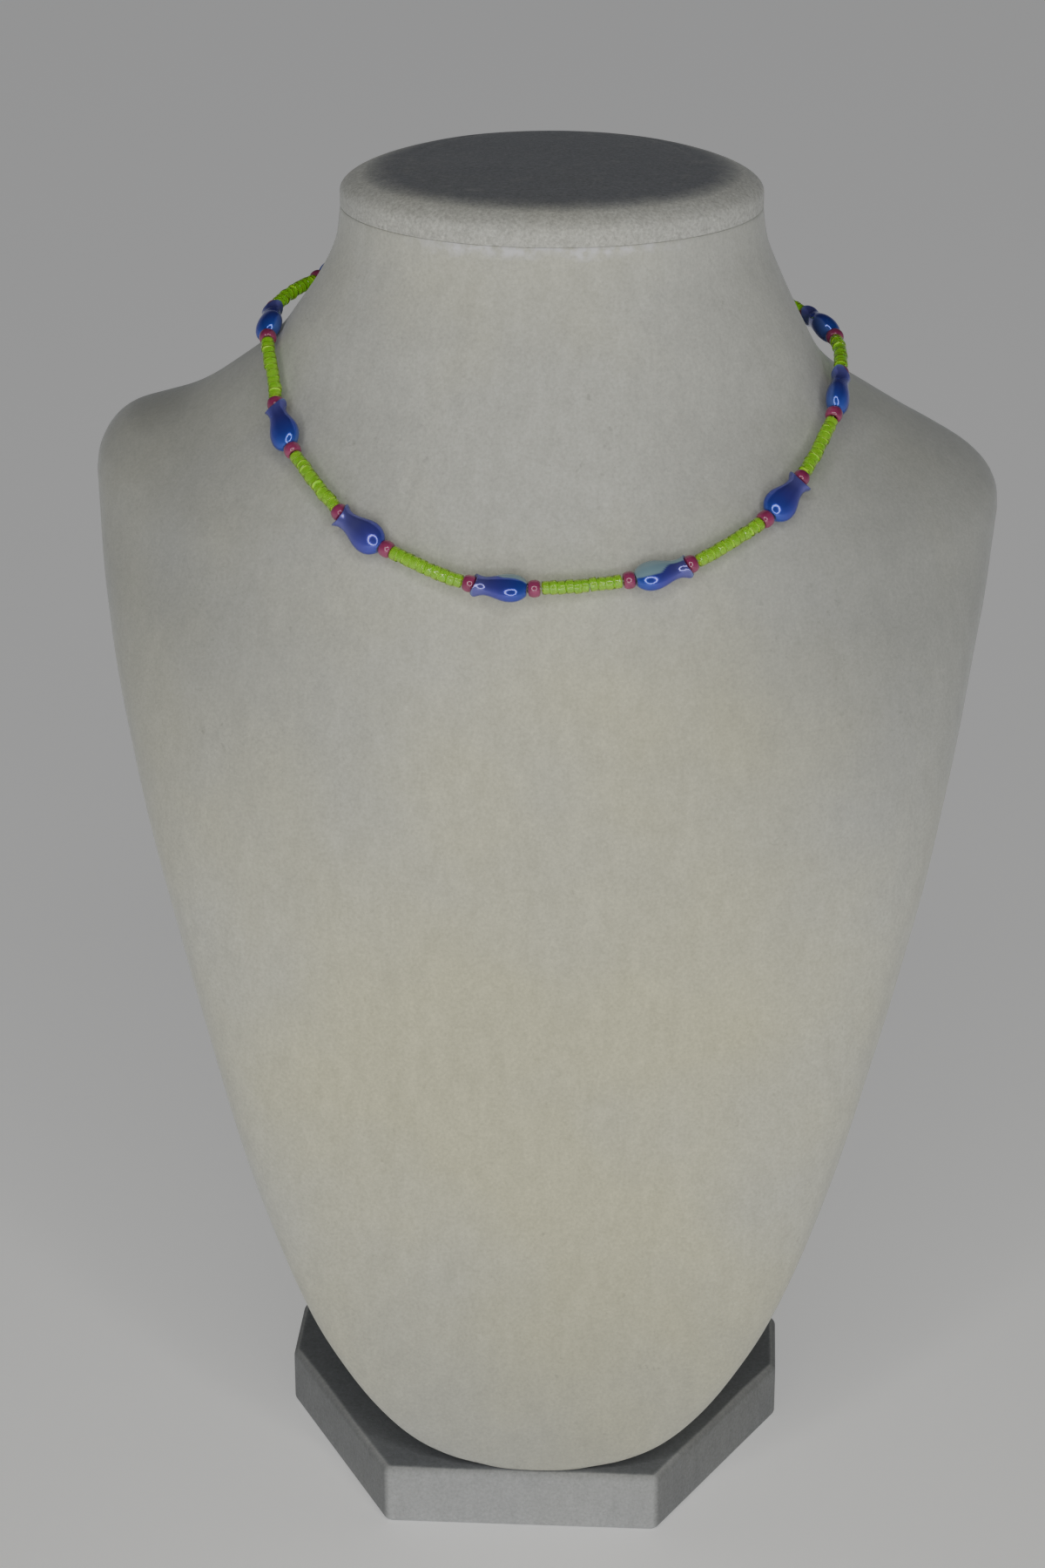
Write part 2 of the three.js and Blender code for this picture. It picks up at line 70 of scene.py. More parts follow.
# %% Grid to mesh
def skin(name, grids, material, wrap=False):
    """Skin grids of points, an array of pieces x rows x columns x 3. Columns run round and join up.
    Row 0 is the low end and columns run counter-clockwise seen from the high end, so faces point
    outwards. wrap joins the last row to the first, and otherwise both ends get a fan."""
    grids = np.asarray(grids, float)
    if grids.ndim == 3:
        grids = grids[None]
    count, rows, columns = grids.shape[:3]
    points = grids.reshape(-1, 3)
    row = np.arange(rows if wrap else rows - 1)[:, None]
    column = np.arange(columns)[None, :]
    after = (column + 1) % columns
    low, high = row * columns, ((row + 1) % rows) * columns
    quads = np.stack([low + column, low + after, high + after, high + column], -1).reshape(-1, 4)
    start = np.arange(count)[:, None, None] * rows * columns
    quads = (quads[None] + start).reshape(-1, 4)
    u = np.stack(np.broadcast_arrays(column, column + 1, column + 1, column), -1) / columns
    v = np.stack(np.broadcast_arrays(row, row, row + 1, row + 1), -1) / (rows - 1)
    u, v = np.broadcast_arrays(u, v)
    uv = np.tile(np.stack([u, v], -1).reshape(-1, 2), (count, 1))
    loops, totals = quads.ravel(), np.full(len(quads), 4)
    if not wrap:
        poles = grids[:, [0, -1]].mean(axis=2).reshape(-1, 3)
        pole = len(points) + np.arange(2 * count).reshape(count, 2, 1)
        first = start[:, 0] + column
        last = first + (rows - 1) * columns
        low_fan = np.stack(
            [start[:, 0] + after, first, np.broadcast_to(pole[:, 0], first.shape)], -1)
        high_fan = np.stack(
            [last, start[:, 0] + (rows - 1) * columns + after,
             np.broadcast_to(pole[:, 1], first.shape)], -1)
        fans = np.concatenate([low_fan.reshape(-1, 3), high_fan.reshape(-1, 3)])
        points = np.concatenate([points, poles])
        loops = np.concatenate([loops, fans.ravel()])
        totals = np.concatenate([totals, np.full(len(fans), 3)])
        middle = np.tile((np.arange(columns) + 0.5) / columns, 2 * count)
        ends = np.repeat([0.0, 1.0], count * columns)
        fan_uv = np.stack([np.repeat(middle, 3), np.repeat(ends, 3)], -1)
        uv = np.concatenate([uv, fan_uv])
    mesh = bpy.data.meshes.new(name)
    mesh.vertices.add(len(points))
    mesh.vertices.foreach_set("co", points.ravel())
    mesh.loops.add(len(loops))
    mesh.loops.foreach_set("vertex_index", loops.astype(np.int32))
    mesh.polygons.add(len(totals))
    starts = np.concatenate([[0], np.cumsum(totals)[:-1]])
    mesh.polygons.foreach_set("loop_start", starts.astype(np.int32))
    mesh.polygons.foreach_set("loop_total", totals.astype(np.int32))
    mesh.polygons.foreach_set("use_smooth", np.ones(len(totals), bool))
    mesh.uv_layers.new(name="UVMap").data.foreach_set("uv", uv.ravel())
    mesh.update()
    mesh.validate()
    mesh.materials.append(material)
    piece = bpy.data.objects.new(name, mesh)
    bpy.context.scene.collection.objects.link(piece)
    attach(piece, "root")
    print(name, "faces:", len(totals))
    return piece


# %% [markdown]
# ## Colours and nodes
# Colours are picked as sRGB hex values, the way a picture shows them, and turned to linear light
# once. One helper adds a node, sets its values and links its inputs, so each material below reads as
# a short list of what it is made of.

# %% Colour and node helpers
def linear(hex_colour):
    """sRGB to linear light: a straight part near black, and a power of 2.4 above it."""
    value = np.array([int(hex_colour[i:i + 2], 16) for i in (1, 3, 5)]) / 255.0
    value = np.where(value <= 0.04045, value / 12.92, ((value + 0.055) / 1.055) ** 2.4)
    return (*value.tolist(), 1.0)


def node(tree, kind, values=None):
    """Add one node. A value is a property, the stops of a colour ramp, or what goes into an input: a
    number, a colour, another node's output, or a node whose first output is meant."""
    new = tree.nodes.new(kind)
    for key, value in (values or {}).items():
        if isinstance(value, bpy.types.Node):
            value = value.outputs[0]
        if isinstance(value, bpy.types.NodeSocket):
            tree.links.new(value, new.inputs[key])
        elif key == "stops":
            for place, colour in value[2:]:
                new.color_ramp.elements.new(place)
            for element, (place, colour) in zip(new.color_ramp.elements, sorted(value)):
                element.position, element.color = place, linear(colour)
        elif isinstance(key, int) or key in new.inputs:
            new.inputs[key].default_value = value
        else:
            setattr(new, key, value)
    return new


def new_material(name):
    material = bpy.data.materials.new(name)
    material.use_nodes = True
    tree = material.node_tree
    tree.nodes.clear()
    return material, tree


# %% [markdown]
# ## Velvet
# The bust is covered in cream-grey polyester velvet, a woven ground with a short dense pile. To the
# eye the pile gives an even, matt surface that hardly darkens towards the outline, soft smudges a few
# millimetres wide where it leans one way or the other, and a grain as fine as the pile itself. The
# dye drifts between cream and cool grey over a hand's width. Sheen in the shader does the first,
# noises at three scales the rest, and a scatter of tiny flecks stands for the lint that velvet holds.
# Light and shade are painted in too: a painted shade on faces that point up and on the sides, and on
# the bust a painted shade on the shoulders and towards the foot and painted light in the chest's
# middle.

# %% Velvet material
# The part of a cloudy noise's values that is used: it rarely goes past them.
CLOUD_LOW, CLOUD_HIGH = 0.3, 0.7


def velvet(name, cream, grey, painted_top_shade, painted_top_from, painted_side_shade, softness, grain, bust=False):
    """painted_top_shade is the colour of a painted shade on faces that point up, away from the light,
    and comes in from painted_top_from, the normal's upward share. painted_side_shade is how dark the
    painted shade on the sides is. softness is the sheen, which evens out the shading, and grain is how
    much lighter or darker single tufts are."""
    material, tree = new_material(name)
    coordinates = node(tree, "ShaderNodeTexCoord")
    place = coordinates.outputs["Object"]
    facing = node(tree, "ShaderNodeSeparateXYZ", {"Vector": coordinates.outputs["Normal"]})
    level = node(tree, "ShaderNodeSeparateXYZ", {"Vector": place})
    brushed = node(tree, "ShaderNodeMapping", {
        "Vector": place, "Rotation": (0.0, math.radians(-40.0), 0.0), "Scale": (1.0, 1.0, 0.3)})

    # Cloudy noises. Their patches are about one metre divided by the scale wide.
    clouds = {}
    for key, laid_on, scale, detail, roughness in (
            ("drift", place, 16.0, 3.0, 0.5), ("smudge", place, 230.0, 5.0, 0.62),
            ("stroke", brushed, 330.0, 3.0, 0.5), ("pile", place, 1300.0, 3.0, 0.75),
            ("clump", place, 480.0, 3.0, 0.5), ("patch", place, 38.0, 2.0, 0.5),
            ("wander", place, 120.0, 3.0, 0.5), ("fray", place, 420.0, 3.0, 0.5)):
        clouds[key] = node(tree, "ShaderNodeTexNoise", {
            "Vector": laid_on, "Scale": scale, "Detail": detail, "Roughness": roughness})

    # The dye: grey and cream, and on the bust painted light, a lighter cream, in the middle of the
    # chest.
    drift = node(tree, "ShaderNodeMapRange", {
        "Value": clouds["drift"], "From Min": CLOUD_LOW, "From Max": CLOUD_HIGH,
        "To Min": -0.4, "To Max": 0.4})
    if bust:
        middle = node(tree, "ShaderNodeMapping", {
            "Vector": place, "Location": (-0.1, 0.0, -1.2), "Scale": (13.0, 0.0, 10.5)})
        far = node(tree, "ShaderNodeVectorMath", {"operation": "LENGTH", 0: middle})
        painted_chest_light = node(tree, "ShaderNodeMapRange", {
            "Value": far.outputs["Value"], "From Min": 0.3, "From Max": 1.5,
            "To Min": 1.0, "To Max": 0.0})
        drift = node(tree, "ShaderNodeMath", {"operation": "ADD", 0: drift, 1: painted_chest_light})
    dye = node(tree, "ShaderNodeMix", {
        "data_type": "RGBA", 0: drift, 6: linear(grey), 7: linear(cream)})

    # The tone: each of these makes the cloth lighter or darker. The last is a painted shade on faces
    # that turn to the sides.
    painted_side_mask = node(tree, "ShaderNodeMath", {"operation": "ABSOLUTE", 0: facing.outputs["X"]})
    tone = 1.0
    for source, low, high, to_low, to_high in (
            (clouds["smudge"], CLOUD_LOW, CLOUD_HIGH, 0.955, 1.03),
            (clouds["stroke"], CLOUD_LOW, CLOUD_HIGH, 0.955, 1.035),
            (clouds["pile"], CLOUD_LOW, CLOUD_HIGH, 1.0 - grain, 1.0 + grain),
            (painted_side_mask, 0.3, 0.8, 1.0, painted_side_shade)):
        share = node(tree, "ShaderNodeMapRange", {
            "Value": source, "From Min": low, "From Max": high, "To Min": to_low, "To Max": to_high})
        tone = node(tree, "ShaderNodeMath", {"operation": "MULTIPLY", 0: tone, 1: share})
    cloth = node(tree, "ShaderNodeMix", {
        "data_type": "RGBA", "blend_type": "MULTIPLY", 0: 1.0, 6: dye.outputs[2], 7: tone})

    # The painted shade on faces that point up, with a border that wavers a little.
    waver = node(tree, "ShaderNodeMapRange", {
        "Value": clouds["smudge"], "From Min": CLOUD_LOW, "From Max": CLOUD_HIGH,
        "To Min": -0.006, "To Max": 0.006})
    upward = node(tree, "ShaderNodeMath", {"operation": "ADD", 0: facing.outputs["Z"], 1: waver})
    painted_top_share = node(tree, "ShaderNodeMapRange", {
        "Value": upward, "From Min": painted_top_from, "From Max": 0.998, "To Min": 0.0, "To Max": 1.0})
    colour = node(tree, "ShaderNodeMix", {
        "data_type": "RGBA", "blend_type": "MULTIPLY", 0: painted_top_share, 6: cloth.outputs[2],
        7: linear(painted_top_shade)})

    # What lies over the dye, each as a colour and the ranges whose product is how much of it shows:
    # lint in clumps and in flecks, and on the bust a painted shade on the shoulders, a painted shade
    # towards the foot and a pale band under the seam of the cap.
    cells = node(tree, "ShaderNodeTexVoronoi", {"Vector": brushed, "Scale": 62.0})
    pick = node(tree, "ShaderNodeSeparateColor", {"Color": cells.outputs["Color"]})
    layers = [
        ("#45423c", ((clouds["clump"], 0.66, 0.78, 0.0, 0.3), (clouds["patch"], 0.5, 0.62, 0.0, 1.0))),
        ("#45423c", ((cells, 0.012, 0.026, 0.5, 0.0), (pick.outputs["Red"], 0.72, 0.74, 0.0, 1.0))),
    ]
    if bust:
        aside = node(tree, "ShaderNodeMath", {"operation": "ABSOLUTE", 0: level.outputs["X"]})
        wander = node(tree, "ShaderNodeMapRange", {
            "Value": clouds["wander"], "From Min": CLOUD_LOW, "From Max": CLOUD_HIGH,
            "To Min": -0.0012, "To Max": 0.0012})
        seam = node(tree, "ShaderNodeMath", {"operation": "ADD", 0: level.outputs["Z"], 1: wander})
        height = level.outputs["Z"]
        layers += [
            # Painted shade on the shoulders.
            ("#808385", ((aside, 0.02, 0.08, 0.0, 0.46), (height, 0.15, 0.215, 0.0, 1.0))),
            # Painted shade towards the foot.
            ("#8a8c8a", ((height, 0.015, 0.08, 0.33, 0.0),)),
            # A pale band just under the seam of the cap, at the front.
            ("#e8e8ee", ((seam, 0.2985, 0.3003, 0.0, 0.75),
                         (level.outputs["Y"], -0.024, -0.031, 0.0, 1.0),
                         (clouds["fray"], 0.4, 0.6, 0.1, 1.0))),
        ]
    for shade, ranges in layers:
        amount = 1.0
        for source, low, high, to_low, to_high in ranges:
            share = node(tree, "ShaderNodeMapRange", {
                "Value": source, "From Min": low, "From Max": high,
                "To Min": to_low, "To Max": to_high})
            amount = node(tree, "ShaderNodeMath", {"operation": "MULTIPLY", 0: amount, 1: share})
        colour = node(tree, "ShaderNodeMix", {
            "data_type": "RGBA", 0: amount, 6: colour.outputs[2], 7: linear(shade)})

    relief = node(tree, "ShaderNodeMath", {
        "operation": "MULTIPLY_ADD", 0: clouds["stroke"], 1: 0.6, 2: clouds["pile"]})
    bump = node(tree, "ShaderNodeBump", {"Strength": 0.3, "Distance": 0.0005, "Height": relief})
    shader = node(tree, "ShaderNodeBsdfPrincipled", {
        "Base Color": colour.outputs[2], "Normal": bump, "Roughness": 0.95,
        "Diffuse Roughness": softness, "Specular IOR Level": 0.1, "Sheen Weight": softness,
        "Sheen Roughness": 0.4, "Sheen Tint": linear("#e9edf5")})
    node(tree, "ShaderNodeOutputMaterial", {"Surface": shader})
    return material


# After the two dye colours comes the colour of the painted shade on faces that point up, then where it
# comes in, the painted shade on the sides, the sheen and the grain.
bust_velvet = velvet("polyester velvet, cream grey", "#d4d2b9", "#cacbc5", "#cbcbcb", 0.85, 1.0,
                     0.45, 0.12, bust=True)
cap_velvet = velvet("polyester velvet, cap", "#c9c8bb", "#c3c4c0", "#9799a4", 0.95, 1.0, 0.25, 0.26)
base_velvet = velvet("polyester velvet, base", "#bcbdb9", "#afb1b3", "#bcbec3", 0.9, 0.6, 0.1, 0.14)

# %% [markdown]
# ## The bust form
# The real form is moulded and flocked over: a narrow chest that leans out of its base, soft
# shoulders and an oval neck. A horizontal cut through it is a rounded oval, so the surface is one
# function of height and of the angle round the neck's axis. Two short tables hold the cut's half
# width and its reach to the front, the side edges and the back, and a smooth curve runs through
# their rows.

# %% Bust tables, in millimetres and shares of them
BUST_SHIFT, NECK_AXIS_Y = 3.5, 9.0
BASE_HEIGHT, GAP = 15.0, 0.3
CHEST_HEIGHT, NECK_HEIGHT = 218.7, 67.4
SHOULDER_WIDTH, CHEST_REACH, BACK_REACH = 209.6, 67.0, 46.0
NECK_WIDTH, NECK_DEPTH, SHOULDER_LIFT, NECK_LEAN = 95.2, 87.0, 5.6, 1.0
# Shares of the chest's height between which the higher shoulder's lift comes in, and of the neck's
# height between which it goes out again and from which the neck leans.
LIFT_BEGINS, LIFT_FULL, LIFT_FADES, LIFT_GONE, LEAN_BEGINS = 0.85, 1.02, 0.5, 0.85, 0.3
FORM_BOTTOM = BASE_HEIGHT + GAP
NECK_TOP = FORM_BOTTOM + CHEST_HEIGHT + NECK_HEIGHT

# at, half width, front, side edge, back, corner: the share by which the oval is drawn in between
# its front and its sides.
CHEST = np.array([
    [0.0, 0.124, 1.082, 1.03, -0.63, -0.032],
    [0.01, 0.2, 1.09, 1.037, -0.59, -0.046],
    [0.028, 0.277, 1.097, 1.03, -0.54, -0.06],
    [0.058, 0.353, 1.107, 1.007, -0.48, -0.06],
    [0.099, 0.427, 1.119, 0.97, -0.41, -0.06],
    [0.159, 0.51, 1.128, 0.918, -0.3, -0.06],
    [0.25, 0.597, 1.134, 0.851, -0.15, -0.06],
    [0.364, 0.682, 1.134, 0.761, 0.02, -0.06],
    [0.502, 0.767, 1.128, 0.657, 0.22, -0.053],
    [0.639, 0.847, 1.113, 0.522, 0.41, -0.039],
    [0.776, 0.917, 1.09, 0.343, 0.61, -0.017],
    [0.899, 0.968, 1.052, 0.149, 0.8, 0.018],
    [0.963, 0.99, 1.022, 0.0, 0.93, 0.038],
    [1.0, 1.0, 1.0, -0.06, 1.0, 0.051],
])
NECK = np.array([
    [0.0, 1.0, 1.0, 1.0, 1.0, 0.051],
    [0.06, 0.994, 0.945, 1.76, 0.97, 0.055],
    [0.12, 0.955, 0.889, 2.5, 0.94, 0.059],
    [0.18, 0.878, 0.832, 2.86, 0.9, 0.062],
    [0.24, 0.765, 0.773, 2.74, 0.84, 0.067],
    [0.3, 0.635, 0.711, 2.28, 0.775, 0.0705],
    [0.37, 0.5, 0.635, 1.35, 0.69, 0.071],
    [0.45, 0.357, 0.543, 0.1, 0.57, 0.067],
    [0.54, 0.248, 0.434, -1.25, 0.43, 0.054],
    [0.64, 0.172, 0.312, -1.6, 0.275, 0.037],
    [0.76, 0.087, 0.172, -0.95, 0.125, 0.015],
    [0.88, 0.022, 0.056, -0.2, 0.035, 0.003],
    [1.0, 0.0, 0.0, 0.0, 0.0, 0.0],
])


# %% Bust surface
def through_rows(table, at):
    """Every column of a table at the shares at, by a cubic through each pair of rows whose slope at
    a row is that of the line between its two neighbours."""
    known = table[:, 0]
    before = np.clip(np.arange(len(known)) - 1, 0, None)
    after = np.clip(np.arange(len(known)) + 1, None, len(known) - 1)
    slope = (table[after] - table[before]) / (known[after] - known[before])[:, None]
    row = np.clip(np.searchsorted(known, at, side="right") - 1, 0, len(known) - 2)
    span = known[row + 1] - known[row]
    t = ((at - known[row]) / span)[:, None]
    span = span[:, None]
    return ((2 * t**3 - 3 * t**2 + 1) * table[row] + (t**3 - 2 * t**2 + t) * span * slope[row]
            + (3 * t**2 - 2 * t**3) * table[row + 1] + (t**3 - t**2) * span * slope[row + 1])


def smooth_step(low, high, value):
    """0 below low, 1 above high, and the cubic 3s^2 - 2s^3 between them."""
    s = np.clip((value - low) / (high - low), 0.0, 1.0)
    return s * s * (3 - 2 * s)


def oval(height, half, front, edge, back, corner, lift, columns):
    """Rings in millimetres. At angle a the width is half cos a and the depth is the front's or the
    back's reach times sin a, both times 1 - corner sin^2 2a in front. The side edges stand edge
    in front of the axis, and the left side is half of lift higher than the axis."""
    angle = np.linspace(0.0, 2 * np.pi, columns, endpoint=False)[None, :]
    rear = np.sin(angle) > 0
    half, front, edge, back, corner, lift, height = (
        np.asarray(value, float)[:, None] for value in (half, front, edge, back, corner, lift, height))
    draw_in = 1 - np.where(rear, np.minimum(corner, 0.0), corner) * np.sin(2 * angle) ** 2
    across = np.cos(angle) * draw_in
    reach = np.where(rear, back + edge, front - edge)
    return np.stack([
        BUST_SHIFT + half * across,
        NECK_AXIS_Y - edge + reach * np.sin(angle) * draw_in,
        height - lift / 2 * across,
    ], -1)


def bust_rings(heights, columns):
    """Rings of the bust at heights above the base, in millimetres."""
    chest = through_rows(CHEST, np.clip(heights / CHEST_HEIGHT, 0.0, 1.0))
    share = np.clip((heights - CHEST_HEIGHT) / NECK_HEIGHT, 0.0, 1.0)
    neck = through_rows(NECK, share)
    in_neck = heights > CHEST_HEIGHT
    half_neck, half_shoulder = NECK_WIDTH / 2, SHOULDER_WIDTH / 2
    half = np.where(in_neck, half_neck + neck[:, 1] * (half_shoulder - half_neck),
                    chest[:, 1] * half_shoulder)
    front = np.where(in_neck, NECK_DEPTH / 2 + neck[:, 2] * (CHEST_REACH - NECK_DEPTH / 2),
                     chest[:, 2] * CHEST_REACH)
    edge = np.where(in_neck, CHEST[-1, 3] * CHEST_REACH * neck[:, 3], chest[:, 3] * CHEST_REACH)
    back = np.where(in_neck, NECK_DEPTH / 2 + neck[:, 4] * (BACK_REACH - NECK_DEPTH / 2),
                    chest[:, 4] * BACK_REACH)
    corner = np.where(in_neck, neck[:, 5], chest[:, 5])
    lift = SHOULDER_LIFT * smooth_step(LIFT_BEGINS, LIFT_FULL, heights / CHEST_HEIGHT)
    lift = lift * (1 - smooth_step(LIFT_FADES, LIFT_GONE, share))
    rings = oval(FORM_BOTTOM + heights, half, front, edge, back, corner, lift, columns)
    rings[..., 0] -= NECK_LEAN * smooth_step(LEAN_BEGINS, 1.0, share)[:, None]
    return rings


def unevenness(points, size, seed):
    """A smooth random height from -1 to 1 for each point: the mean of eight sine waves whose
    directions and phases are drawn at random and whose length is about size."""
    draw = np.random.default_rng(seed)
    waves = draw.normal(size=(8, 3))
    waves *= (2 * np.pi / (size * draw.uniform(0.7, 1.5, 8)) / np.linalg.norm(waves, axis=1))[:, None]
    return np.sin(points @ waves.T + draw.uniform(0, 2 * np.pi, 8)).mean(-1)


def outwards(grid):
    """Unit normals of a grid of rings, from the cross product of its two directions."""
    around = np.roll(grid, -1, axis=1) - np.roll(grid, 1, axis=1)
    normal = np.cross(around, np.gradient(grid, axis=0))
    return normal / np.maximum(np.linalg.norm(normal, axis=-1, keepdims=True), 1e-9)


# How far both shoulder ends lean to the left, and how much more the right side does: by, the
# distances across and the heights between which each comes in.
SHOULDER_LEAN = (2.1, (50.0, 95.0), (110.0, 225.0))
RIGHT_LEAN = (0.7, (36.5, 86.5), (15.0, 60.0))
# The left shoulder's hollow beside the neck and the rise at its end: by, place across and spread.
HOLLOW, RISE = (2.8, -80.5, 12.0), (1.6, -101.5, 8.0)
HOLLOW_HEIGHTS = (205.0, 236.0)


def shoulders_set(points):
    """The shoulders' own turn. A lean is a smooth step of the distance across the axis times one of
    the height. The hollow and the rise are bell curves, the exponential of minus the square of the
    distance over the spread, let in with height."""
    across, height = points[..., 0] - BUST_SHIFT, points[..., 2]
    moved = points.copy()
    for (by, sideways, heights), distance in ((SHOULDER_LEAN, np.abs(across)), (RIGHT_LEAN, across)):
        moved[..., 0] -= by * smooth_step(*sideways, distance) * smooth_step(*heights, height)
    for sign, (by, place, spread) in ((1, HOLLOW), (-1, RISE)):
        bell = by * np.exp(-((across - place) / spread) ** 2)
        moved[..., 2] -= sign * bell * smooth_step(*HOLLOW_HEIGHTS, height)
    return moved


# %% Bust mesh
# The chest's rings stand closer together towards the foot, where the form bends most. The surface
# swells and dips by up to SWELL, in waves about SWELL_SIZE long.
FOOT_CROWDING, SWELL, SWELL_SIZE = 1.6, 0.35, 45.0
heights = np.concatenate([
    CHEST_HEIGHT * np.linspace(0.0, 1.0, 120) ** FOOT_CROWDING,
    CHEST_HEIGHT + NECK_HEIGHT * np.linspace(0.0, 1.0, 72)[1:],
])
form = shoulders_set(bust_rings(heights, 192))
form += outwards(form) * (SWELL * unevenness(form, SWELL_SIZE, seed=3))[..., None]
rim = form[-1:]
middle_of_neck = rim.mean(axis=1, keepdims=True)
inner_rings = [middle_of_neck + (rim - middle_of_neck) * share for share in (0.995, 0.9, 0.5)]
RIM_ROLL = 0.15
form[-1, :, 2] -= RIM_ROLL
form = np.concatenate([form, *inner_rings])
bust = skin("bust_velvet_skin", form * MM, bust_velvet)
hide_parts("bust_form")

# %% [markdown]
# ## The cap
# A velvet covered lid closes the neck. Its side runs on from the neck's, a narrow seam shows between
# them, and its rim rolls over softly into a nearly flat top, in a tighter roll at the back. The
# profile is a row of insets and heights, and each ring is the neck's oval made smaller by the inset.

# %% Cap mesh
CAP_THICKNESS, CAP_CROWN, LOWER_ROLL, SEAM = 8.6, 0.9, 0.12, 0.08
ROLL_IN, ROLL_DOWN, BACK_ROLL, INNERMOST = 14.0, 5.0, 0.36, 40.0
CAP_SWELL, CAP_SWELL_SIZE = 0.22, 30.0
turn = np.linspace(0.0, np.pi / 2, 20)
lower = np.linspace(0.0, np.pi / 2, 4)
inward = np.linspace(ROLL_IN, INNERMOST, 22)[1:]
inset = np.concatenate([
    LOWER_ROLL * (1 - np.sin(lower)), ROLL_IN * (1 - np.cos(turn)), inward])
top = CAP_THICKNESS - CAP_CROWN
height = np.concatenate([
    LOWER_ROLL * (1 - np.cos(lower)) - GAP + SEAM,
    top - ROLL_DOWN * (1 - np.sin(turn)),
    top + CAP_CROWN * smooth_step(ROLL_IN - 6.0, 36.0, inward),
])
back_inset = inset * (BACK_ROLL + (1 - BACK_ROLL) * smooth_step(ROLL_IN, INNERMOST, inset))
flat = np.zeros_like(inset)
lid = oval(NECK_TOP + GAP + height, NECK_WIDTH / 2 - inset, NECK_DEPTH / 2 - inset, flat,
           NECK_DEPTH / 2 - back_inset, flat, flat, 160)
lid[..., 0] -= NECK_LEAN
swell = CAP_SWELL * unevenness(lid, CAP_SWELL_SIZE, seed=8)
lid[..., 2] += swell * smooth_step(2.0, 12.0, inset)[:, None]
cap = skin("cap_velvet_skin", lid * MM, cap_velvet)
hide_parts("neck_cap")

# %% [markdown]
# ## The base
# The base is a board with its corners cut off, wrapped in the same velvet. The cloth rounds every
# edge, so the outline is walked round with an arc at each of the eight corners, and the profile
# rolls over at the top and the bottom.

# %% Base mesh
BASE_WIDTH, BASE_DEPTH, BASE_FRONT, BASE_SIDE = 120.0, 129.0, 64.0, 22.6
CORNER, EDGE, BOARD_SWELL, BOARD_SWELL_SIZE = 2.6, 1.9, 0.12, 25.0
corners = np.array([
    [BASE_FRONT / 2, -BASE_DEPTH / 2], [BASE_WIDTH / 2, -BASE_SIDE / 2],
    [BASE_WIDTH / 2, BASE_SIDE / 2], [BASE_FRONT / 2, BASE_DEPTH / 2],
    [-BASE_FRONT / 2, BASE_DEPTH / 2], [-BASE_WIDTH / 2, BASE_SIDE / 2],
    [-BASE_WIDTH / 2, -BASE_SIDE / 2], [-BASE_FRONT / 2, -BASE_DEPTH / 2],
])


def rounded_outline(corners, radius, inset):
    """Points round a convex outline: each side runs straight to an arc of the radius, whose
    centre is where the two sides, moved in by the radius, meet. inset moves every point in."""
    side = np.roll(corners, -1, axis=0) - corners
    side /= np.linalg.norm(side, axis=1, keepdims=True)
    out = np.stack([side[:, 1], -side[:, 0]], -1)
    before = np.roll(out, 1, axis=0)
    centre = corners - (before + out) * (radius / (1 + (before * out).sum(1)))[:, None]
    first = np.arctan2(before[:, 1], before[:, 0])
    sweep = np.arctan2(before[:, 0] * out[:, 1] - before[:, 1] * out[:, 0], (before * out).sum(1))
    angle = first[:, None] + sweep[:, None] * np.linspace(0.0, 1.0, 7)[None, :]
    arc = centre[:, None] + (radius - inset) * np.stack([np.cos(angle), np.sin(angle)], -1)
    end = np.roll(arc[:, 0], -1, axis=0)
    steps = np.linspace(0.0, 1.0, 14)[None, 1:-1, None]
    straight = arc[:, -1:] + (end - arc[:, -1])[:, None] * steps
    return np.concatenate([arc, straight], axis=1).reshape(-1, 2)


quarter = np.linspace(0.0, np.pi / 2, 8)
board_inset = np.concatenate([EDGE * (1 - np.sin(quarter)), EDGE * (1 - np.cos(quarter))])
board_height = np.concatenate([EDGE * (1 - np.cos(quarter)),
                               BASE_HEIGHT - EDGE * (1 - np.sin(quarter))])
outlines = [rounded_outline(corners, CORNER, step) for step in board_inset]
board = np.stack([np.column_stack([outline, np.full(len(outline), rise)])
                  for outline, rise in zip(outlines, board_height)])
shrink = np.linspace(1.0, 0.04, 22)[1:, None, None]
top_rings = board[-1:] * np.concatenate([shrink, shrink, shrink ** 0], -1)
board = np.concatenate([board, top_rings])
swell = BOARD_SWELL * unevenness(board, BOARD_SWELL_SIZE, seed=5)
board[..., 2] += swell * (board[..., 2] > BASE_HEIGHT - 0.1)
base = skin("base_velvet_skin", board * MM, base_velvet)
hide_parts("base")

# %% [markdown]
# ## Where the beads are
# Each bead's place and turn are read from its solid: the middle of its points, and the three
# directions in which they spread. A tulip is longest along the thread and broader than it is deep,
# a spacer is shortest along the thread. The direction of travel is from the front to the nape.

# %% Bead frames
def solid_points(name):
    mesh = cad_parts[name].data
    points = np.empty(len(mesh.vertices) * 3, np.float32)
    mesh.vertices.foreach_get("co", points)
    return np.unique(np.round(points.reshape(-1, 3).astype(float), 7), axis=0)


def bead_frame(name, along_is_longest, towards):
    """Middle of a bead and its axes as rows: broad, deep and along the thread."""
    points = solid_points(name)
    spread, axes = np.linalg.eigh(np.cov((points - points.mean(0)).T))
    axes = axes.T
    along, broad = (axes[2], axes[1]) if along_is_longest else (axes[0], axes[1])
    along = along * np.sign(along @ towards)
    deep = np.cross(along, broad)
    axes = np.stack([broad, deep, along])
    reach = (points - points.mean(0)) @ axes.T
    return points.mean(0) + (reach.min(0) + reach.max(0)) / 2 @ axes, axes


